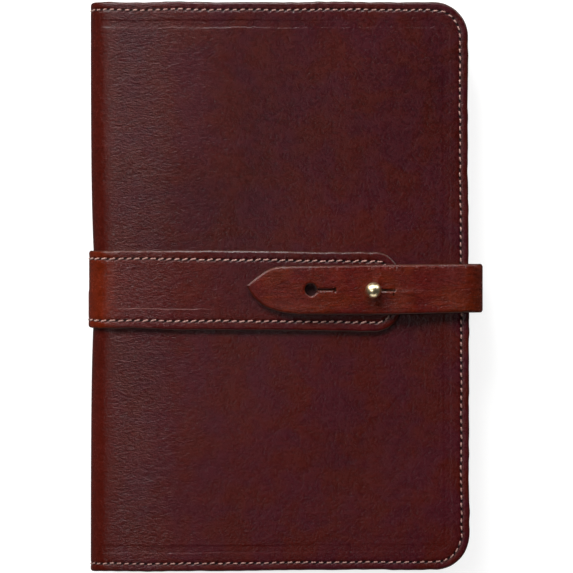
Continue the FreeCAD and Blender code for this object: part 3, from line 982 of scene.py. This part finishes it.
def tongue_outline():
    """The strap's edge, from the loop along its lower side, round the hand-cut tip and back."""
    below = [(0, 0), (1.5, -2.7), (3.6, -5.4), (6.6, -7.9), (10.4, -9.7), (15.5, -10.9), (20.5, -11.35)]
    above = [(0, 0), (4.3, 3.45), (8.0, 6.0), (10.6, 7.05), (13.4, 7.5), (17.0, 7.62)]
    low = to_strap(curve_through(below) + np.array(TIP))
    high = to_strap(curve_through(above) + np.array(TIP))
    start = [(0.0, -STRAP_HALF), (low[-1, 0] + 25, -STRAP_HALF)]
    low[-1, 1] = -STRAP_HALF
    points = np.vstack([start, low[::-1], high[1:], [(0.0, STRAP_HALF)]])
    line = outline_of(points, False, 0.45)
    tip = line["t"][np.argmin(np.linalg.norm(line["points"] - low[0], axis=1))]
    line["room"] = 0.3 + 0.8 * np.abs(line["t"] - tip)  # the rim is narrow at the pointed tip
    return line


def keyhole(x, y, radius, slit, half_slit, tick):
    """A punched hole with a slit towards the fore-edge that ends in a small cross cut."""
    start = math.asin(half_slit / radius)
    angles = np.linspace(start, math.tau - start, 48)
    points = [(x + radius * math.cos(a), y + radius * math.sin(a)) for a in angles]
    cut, end = x + slit - 0.25, x + slit + 0.05
    points += [(cut, y - 0.6 * half_slit), (cut, y - tick), (end, y - tick)]
    points += [(end, y + tick), (cut, y + tick), (cut, y + 0.6 * half_slit)]
    line = outline_of(to_strap(points), True, 0.22)
    line["room"] = np.full(len(line["t"]), 0.9)
    return line


holes = [
    keyhole(STUD.x - HOLE_PITCH, CLOSURE_Y + 0.2, 2.3, 9.6, 0.2, 0.65),
    keyhole(STUD.x, CLOSURE_Y, 2.3, 8.4, 0.2, 0.3),
]
strap_rim = rim(BAND, [], 1.1)
tongue = slab("strap_front", [tongue_outline()] + holes, strap_rim, (0.9, 0.9), strap_place, STRAP_SKIN)
TAIL_END = LOOP + BENT + (BEND_X - corners("strap_tail")[0].x)
UNDER_BAND = LOOP + BENT + (BEND_X - corners("back_band")[1].x)
tail_corners = [(0, STRAP_HALF), (TAIL_END, STRAP_HALF), (TAIL_END, -STRAP_HALF), (0, -STRAP_HALF)]
tail_line = outline_of(tail_corners, False, 0.9)


def tail_place(w, v, depth, e, hole):
    """The tail's end is pared to half its thickness where it lies under the band."""
    pared = smooth((w - UNDER_BAND + 3) / 3)
    depth = depth + pared * (1 - depth / BAND) * BAND / 2
    return strap_lay(w, v, depth), 0.3 + 0.3 * bump((w - LOOP - BENT / 2) / 6), np.full(len(w), 0.3)


tail = slab("strap_back", [tail_line], strap_rim, (0.9, 0.9), tail_place, STRAP_SKIN, shift=(0, 0, 9))
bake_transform(tongue)
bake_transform(tail)
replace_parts(tongue, "strap_tongue", "strap_loop")
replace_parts(tail, "strap_tail", "strap_loop")

# the stitched rectangle that holds the strap's end under the band
low, high = corners("strap_anchor_thread")
anchor_corners = [(low.x, low.y), (low.x, high.y), (high.x, high.y), (high.x, low.y)]
anchor_edge = outline_of([(x - SPINE_X + ARC, y) for x, y in anchor_corners], True, 0.4)
# its first point comes again at its end, so that the stitches go all the way round
anchor_edge["t"] = np.append(anchor_edge["t"], anchor_edge["t"][-1] + anchor_edge["t"][1])
for key in ("points", "normals"):
    anchor_edge[key] = np.vstack([anchor_edge[key], anchor_edge[key][:1]])
on_back_band = on_cover(-1, SPINE_R + BAND, band_cut)
anchor = stitches("strap_anchor", anchor_edge, ANCHOR_INSET, on_back_band, 50)
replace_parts(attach(anchor, "back"), "strap_anchor_thread")


# ---- The ball stud ----
BALL = 3.2
BAND_TOP = COVER_TOP + BAND


def stud_profile():
    """A foot behind the band, a flange set into it, a neck and a ball, as (radius, z)."""
    foot = corners("ball_stud")[0].z
    ball_z = STUD_TOP - BALL
    line = [(0.4, foot), (2.1, foot), (2.2, foot + 0.1)]
    flange = [(2.2, -1.05), (4.35, -1.0), (4.5, -0.85), (4.5, -0.25), (4.35, -0.08), (4.0, 0.0)]
    neck = [(2.2, 0.02), (1.75, 0.2), (1.6, 0.6)]
    line += [(r, BAND_TOP + z) for r, z in flange + neck]
    line += [(1.6, ball_z - 3.05), (1.72, ball_z - 2.85)]
    for a in np.radians(np.linspace(-56, 89, 34)):
        line.append((BALL * math.cos(a), ball_z + BALL * math.sin(a)))
    return line


stud = lathe("ball_and_neck", stud_profile(), (STUD.x, STUD.y), BRASS)
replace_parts(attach(stud, "front"), "ball_stud")

# ---- CAD nodes that are shown as they are ----
shown = {"notebook_back_board": BOARD_CLOTH, "notebook_front_board": BOARD_CLOTH}
shown.update({"notebook_spine": BOARD_CLOTH, "stud_screw": BRASS})
for node, material in shown.items():
    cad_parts[node].data.materials.clear()
    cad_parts[node].data.materials.append(material)

# ---- Floor, lights and camera ----
bpy.ops.mesh.primitive_plane_add(size=8, location=(0, 0, -0.0004))
floor = bpy.context.object
floor.name = "floor"
floor.data.materials.append(floor_material("pale_floor"))
floor.visible_glossy = False  # so that the leather's turned edges don't mirror the white table
floor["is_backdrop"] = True


def softbox(name, from_vertical, compass, distance, size, radiance):
    """A rectangular light aimed at the object. Its place is given by its angle from the vertical, its
    compass direction (0 is the fore-edge, 90 the head), and its distance. Its distance and its size
    are in metres."""
    data = bpy.data.lights.new(name, "AREA")
    data.shape = "RECTANGLE"
    data.size, data.size_y = size
    data.energy = radiance * math.pi * size[0] * size[1]
    light = bpy.data.objects.new(name, data)
    bpy.context.scene.collection.objects.link(light)
    tilt, turn = math.radians(from_vertical), math.radians(compass)
    way = Vector((math.sin(tilt) * math.cos(turn), math.sin(tilt) * math.sin(turn), math.cos(tilt)))
    light.location = way * distance
    light.rotation_euler = way.to_track_quat("Z", "Y").to_euler()
    light.visible_camera = False


softbox("left_softbox", 60, 134, 0.95, (0.38, 0.42), 17.0)
softbox("right_softbox", 74, 44, 0.95, (0.40, 0.33), 7.0)
softbox("head_strip", 54, 86, 1.00, (0.86, 0.34), 3.8)
softbox("head_left", 54, 99, 0.98, (0.22, 0.32), 27.0)
softbox("sheen_card", 24, 178, 0.95, (0.18, 0.55), 5.6)
softbox("tail_fill", 76, 272, 0.90, (1.20, 0.40), 1.2)


def studio():
    """A studio that is dark overhead and paler towards its walls, with a white backdrop behind the
    object."""
    world = bpy.data.worlds.new("studio")
    world.use_nodes = True
    tree = world.node_tree
    direction = tree.nodes.new("ShaderNodeTexCoord")
    height = tree.nodes.new("ShaderNodeSeparateXYZ")
    walls = tree.nodes.new("ShaderNodeMapRange")
    for key, value in (("From Min", 0.6), ("From Max", -0.1), ("To Min", 0.03), ("To Max", 0.08)):
        walls.inputs[key].default_value = value
    rays = tree.nodes.new("ShaderNodeLightPath")
    backdrop = tree.nodes.new("ShaderNodeMath")
    backdrop.operation = "MAXIMUM"
    background = tree.nodes["Background"]
    background.inputs["Color"].default_value = (1, 1, 1, 1)
    tree.links.new(direction.outputs["Generated"], height.inputs[0])
    tree.links.new(height.outputs["Z"], walls.inputs["Value"])
    tree.links.new(walls.outputs[0], backdrop.inputs[0])
    tree.links.new(rays.outputs["Is Camera Ray"], backdrop.inputs[1])
    tree.links.new(backdrop.outputs[0], background.inputs["Strength"])
    return world


bpy.context.scene.world = studio()
bpy.context.scene.view_settings.view_transform = "Standard"

LENS = 250.0
SENSOR = 36.0
VIEW_WIDTH = 225.0  # what the photograph's frame spans at the front cover's height
VIEW_MIDDLE = (LEFT + 76.83, 0.2)
camera = bpy.data.objects.new("camera", bpy.data.cameras.new("camera"))
bpy.context.scene.collection.objects.link(camera)
camera.data.lens = LENS
camera.data.sensor_width = SENSOR
camera.data.clip_end = 20
camera.location = Vector((*VIEW_MIDDLE, COVER_TOP + VIEW_WIDTH * LENS / SENSOR)) * MM
bpy.context.scene.camera = camera

low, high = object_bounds()
